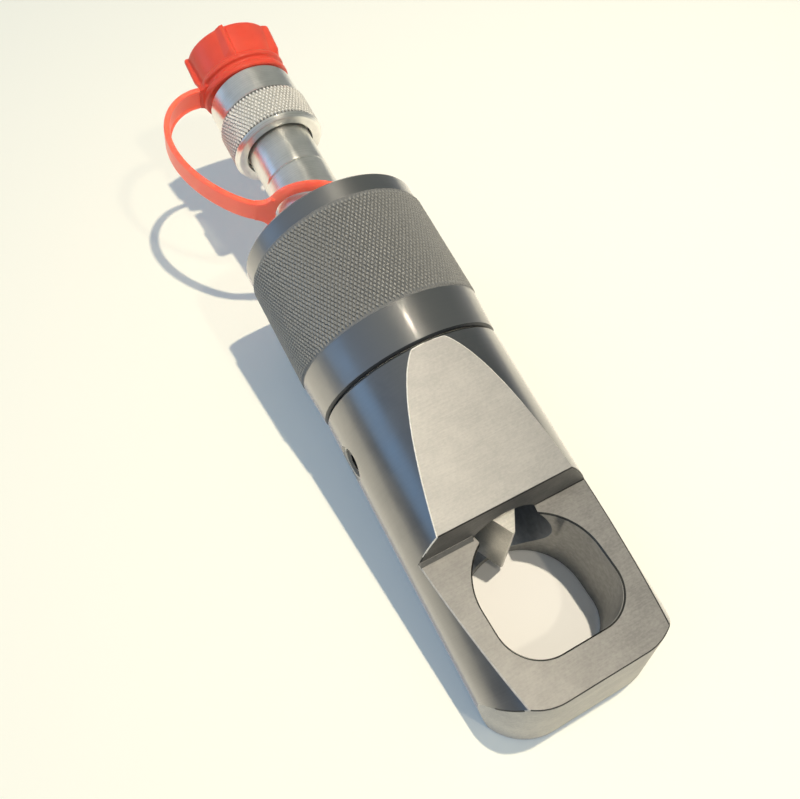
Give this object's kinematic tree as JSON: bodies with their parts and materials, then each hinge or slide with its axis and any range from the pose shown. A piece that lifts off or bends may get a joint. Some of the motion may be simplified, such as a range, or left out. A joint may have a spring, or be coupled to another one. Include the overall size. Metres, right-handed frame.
{
  "type": "hydraulic nut splitter",
  "caption": "Hydraulic nut splitter: a spring-return ram drives a wedge chisel through a closed jaw towards an anvil wall, fed by a quick coupler with a tethered dust cap.",
  "frame": {"origin": "on the jaw's working face, on its middle line, 20 mm behind the foot of the step", "axes": "+Z out of the working face through the jaw, +X along the working face towards the jaw's tip, +Y to the side away from the set screw"},
  "size_m": [0.2667, 0.0721, 0.0828],
  "materials": {
    "head_steel": "black oxide with ground faces",
    "black_oxide": "black oxide, satin",
    "tool_steel": "hardened and ground",
    "bright_steel": "machined",
    "zinc": "bright zinc plate",
    "seal_rubber": "matt",
    "seal_plastic": "matt",
    "cap_plastic": "soft moulded plastic, satin"
  },
  "bodies": {
    "tool": {"head": "head_steel", "cylinder": "black_oxide", "set_screw": "black_oxide", "spring_washer": "bright_steel", "return_spring": "bright_steel", "stem": "zinc", "stem_oring": "seal_rubber", "stem_gasket": "seal_rubber", "coupler_body": "zinc", "collar_ring": "bright_steel", "poppet_spring": "bright_steel", "strap": "cap_plastic", "strap_ring": "cap_plastic"},
    "ram": {"piston": "bright_steel", "wear_ring": "seal_plastic", "piston_seal": "seal_rubber", "backup_ring": "seal_plastic", "chisel": "tool_steel", "chisel_bolt": "black_oxide", "bolt_seal": "seal_rubber"},
    "collar": {"collar": "zinc"},
    "valve": {"poppet": "bright_steel", "poppet_seal": "seal_rubber"},
    "cap": {"dust_cap": "cap_plastic"}
  },
  "joints": [
    {"name": "ram_advance", "type": "slide", "parent": "tool", "child": "ram", "axis": [0.9785, 0, -0.2062], "range_m": [0, 0.024], "stiffness_N_per_m": 4000, "springref_m": -0.012, "deforming": ["return_spring"]},
    {"name": "collar_spin", "type": "hinge", "parent": "tool", "child": "collar", "pos_m": [-0.13887, 0, 0.05304], "axis": [0.9785, 0, -0.2062], "continuous": true},
    {"name": "valve_press", "type": "slide", "parent": "tool", "child": "valve", "axis": [0.9785, 0, -0.2062], "range_m": [0, 0.003], "stiffness_N_per_m": 800, "springref_m": -0.002, "deforming": ["poppet_spring"]},
    {"name": "cap_pull", "type": "slide", "parent": "tool", "child": "cap", "axis": [-0.9785, 0, 0.2062], "range_m": [0, 0.02], "deforming": ["strap"]}
  ]
}
